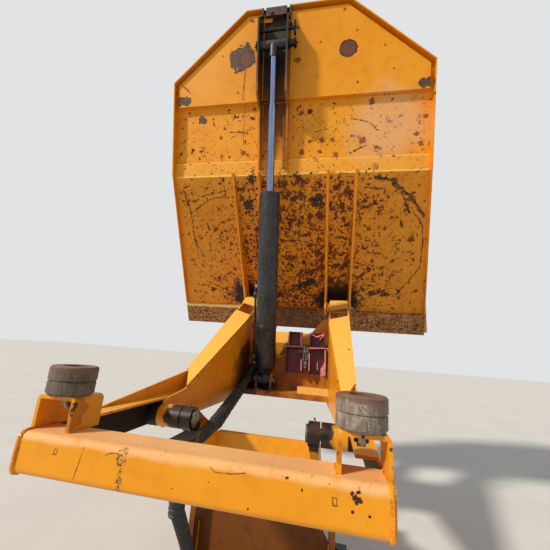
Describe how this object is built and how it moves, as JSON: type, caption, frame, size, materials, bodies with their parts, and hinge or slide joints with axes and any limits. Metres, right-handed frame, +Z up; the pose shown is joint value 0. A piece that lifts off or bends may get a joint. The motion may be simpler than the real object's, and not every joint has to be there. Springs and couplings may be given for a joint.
{
  "type": "high tipping skip unit of a site dumper",
  "caption": "Dumper skip tipped on a welded sub-frame by an off-centre ram, with a rest beam and buffers, carried on lift arms above a bolted base.",
  "frame": {"origin": "centre of the base plate's underside", "axes": "+X to the right seen from behind, +Y forward to where the skip tips, +Z up"},
  "size_m": [2.4238, 2.4113, 4.075],
  "materials": {
    "orange_paint": "satin paint over steel, chipped and rusted",
    "base_grey": "dull dark primer",
    "pin_steel": "greased turned steel",
    "buffer_iron": "worn, rusted and dusty",
    "black_paint": "worn black paint",
    "rod_chrome": "polished hard chrome",
    "hose_rubber": "dull black rubber in a woven sleeve",
    "red_paint": "dull dark red paint"
  },
  "bodies": {
    "base": {"base_plate": "base_grey", "base_side_left": "orange_paint", "base_side_right": "orange_paint", "base_cross_plate": "orange_paint", "base_pins": "pin_steel", "hose_lower": "hose_rubber"},
    "lift_arms": {"lift_arm_left": "orange_paint", "lift_arm_right": "orange_paint", "arm_cross_bar": "orange_paint"},
    "subframe": {"rest_beam": "orange_paint", "rest_beam_caps": "orange_paint", "buffer_bracket_left": "orange_paint", "buffer_bracket_right": "orange_paint", "buffer_left": "buffer_iron", "buffer_right": "buffer_iron", "buffer_studs": "pin_steel", "rail_left": "orange_paint", "rail_right": "orange_paint", "upright_left": "orange_paint", "upright_right": "orange_paint", "upright_flange_left": "orange_paint", "upright_flange_right": "orange_paint", "hinge_pins": "pin_steel", "arm_pins": "pin_steel", "ram_deck": "orange_paint", "ram_foot_pin": "pin_steel", "front_cross_plate": "orange_paint", "prop_left": "red_paint", "prop_right": "red_paint", "hose_upper": "hose_rubber", "hose_clip": "black_paint"},
    "skip": {"skip_floor_rear": "orange_paint", "skip_rest_panel": "orange_paint", "skip_floor_front": "orange_paint", "skip_lip": "orange_paint", "skip_wall_rear": "orange_paint", "skip_wall_left": "orange_paint", "skip_wall_right": "orange_paint", "skip_top_rail": "orange_paint", "hinge_ears_left": "orange_paint", "hinge_ears_right": "orange_paint", "ram_cheek_left": "black_paint", "ram_cheek_right": "black_paint", "ram_pin_ends": "pin_steel", "ram_lock_bar": "pin_steel", "rear_latch": "pin_steel"},
    "ram_barrel": {"ram_barrel": "black_paint", "ram_gland": "black_paint", "ram_pipe": "black_paint"},
    "ram_rod": {"ram_rod": "rod_chrome", "ram_rod_head": "black_paint"}
  },
  "joints": [
    {"name": "lift", "type": "hinge", "parent": "base", "child": "lift_arms", "pos_m": [0, 0.28, 0.44], "axis": [-1, 0, 0], "range_deg": [0, 35]},
    {"name": "level", "type": "hinge", "parent": "lift_arms", "child": "subframe", "pos_m": [0, -0.584, 0.89], "axis": [-1, 0, 0], "range_deg": [-35, 0]},
    {"name": "skip_tip", "type": "hinge", "parent": "subframe", "child": "skip", "pos_m": [0, 0.831, 1.611], "axis": [-1, 0, 0], "range_deg": [-75.5, 0]},
    {"name": "ram_swing", "type": "hinge", "parent": "subframe", "child": "ram_barrel", "pos_m": [-0.153, 0.415, 0.985], "axis": [-1, 0, 0], "range_deg": [-73.29, 0]},
    {"name": "ram_stroke", "type": "slide", "parent": "ram_barrel", "child": "ram_rod", "axis": [0, -0.2568, 0.9665], "range_m": [-0.9177, 0]}
  ],
  "couplings": [
    {"joint": "level", "follows": "lift", "ratio": -1},
    {"joint": "ram_swing", "follows": "skip_tip", "ratio": 0.97059},
    {"joint": "ram_stroke", "follows": "skip_tip", "m_per_rad": 0.69601}
  ]
}
